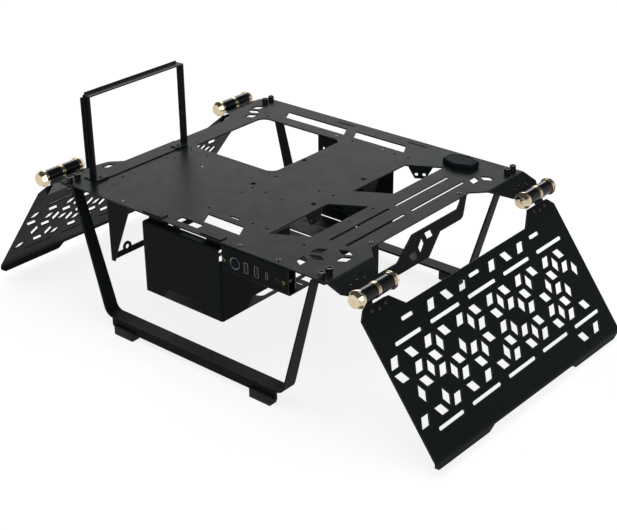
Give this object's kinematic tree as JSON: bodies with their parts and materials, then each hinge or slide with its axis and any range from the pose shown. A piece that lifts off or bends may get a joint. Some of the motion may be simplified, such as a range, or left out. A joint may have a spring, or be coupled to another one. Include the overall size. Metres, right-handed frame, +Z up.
{
  "type": "open air test bench",
  "caption": "Open air computer test bench: a pierced sheet-metal board tray on bent legs, with pierced side wings on friction hinges, a card frame, a power supply cradle and front ports.",
  "frame": {"origin": "on the table under the middle of the main plate", "axes": "+X to the right wing, +Y to the back, +Z up; the connector panel faces -Y"},
  "size_m": [0.7594, 0.408, 0.3131],
  "materials": {
    "bench_paint": "matte fine-textured powder coat",
    "hinge_black": "satin black",
    "hinge_gold": "polished pale gold anodising",
    "pin_steel": "ground",
    "brass_screws": "satin",
    "black_screws": "black oxide",
    "foot_rubber": "matte",
    "circuit_board": "solder mask",
    "port_metal": "bright plated",
    "black_plastic": "moulded",
    "button_light": "lit blue"
  },
  "bodies": {
    "bench": {"audio_jack": "black_plastic", "button_light_ring": "button_light", "card_frame": "bench_paint", "card_frame_base": "bench_paint", "card_frame_screws": "black_screws", "flange_screws": "brass_screws", "front_left_foot": "foot_rubber", "front_leg": "bench_paint", "front_right_foot": "foot_rubber", "io_board": "circuit_board", "io_board_spacers": "brass_screws", "io_bracket": "bench_paint", "io_panel_screws": "brass_screws", "left_front_hinge_caps": "hinge_gold", "left_front_hinge_pin": "pin_steel", "left_front_hinge_plate_leaf": "hinge_black", "left_front_hinge_ring": "hinge_gold", "left_rear_hinge_caps": "hinge_gold", "left_rear_hinge_pin": "pin_steel", "left_rear_hinge_plate_leaf": "hinge_black", "left_rear_hinge_ring": "hinge_gold", "leg_thumb_screws": "black_screws", "main_plate": "bench_paint", "plate_puck": "black_plastic", "plate_screws": "brass_screws", "psu_cradle": "bench_paint", "push_switch": "black_plastic", "rear_left_foot": "foot_rubber", "rear_leg": "bench_paint", "rear_right_foot": "foot_rubber", "right_front_hinge_caps": "hinge_gold", "right_front_hinge_pin": "pin_steel", "right_front_hinge_plate_leaf": "hinge_black", "right_front_hinge_ring": "hinge_gold", "right_rear_hinge_caps": "hinge_gold", "right_rear_hinge_pin": "pin_steel", "right_rear_hinge_plate_leaf": "hinge_black", "right_rear_hinge_ring": "hinge_gold", "side_bracket": "bench_paint", "tie_bracket": "bench_paint", "under_screws": "black_screws", "usb_a_ports": "port_metal", "usb_c_port": "port_metal"},
    "left_wing_body": {"left_front_hinge_wing_leaf": "hinge_black", "left_rear_hinge_wing_leaf": "hinge_black", "left_wing": "bench_paint", "left_wing_screws": "brass_screws"},
    "right_wing_body": {"right_front_hinge_wing_leaf": "hinge_black", "right_rear_hinge_wing_leaf": "hinge_black", "right_wing": "bench_paint", "right_wing_screws": "brass_screws"},
    "button_body": {"power_button": "black_plastic"}
  },
  "joints": [
    {"name": "left_wing_hinge", "type": "hinge", "parent": "bench", "child": "left_wing_body", "pos_m": [-0.26201, 0, 0.18498], "axis": [0, 1, 0], "range_deg": [-2, 143.5]},
    {"name": "right_wing_hinge", "type": "hinge", "parent": "bench", "child": "right_wing_body", "pos_m": [0.26201, 0, 0.18498], "axis": [0, -1, 0], "range_deg": [-2, 143.5]},
    {"name": "power_button_press", "type": "slide", "parent": "bench", "child": "button_body", "axis": [0, 1, 0], "range_m": [0, 0.0015], "stiffness_N_per_m": 600, "springref_m": -0.002}
  ]
}
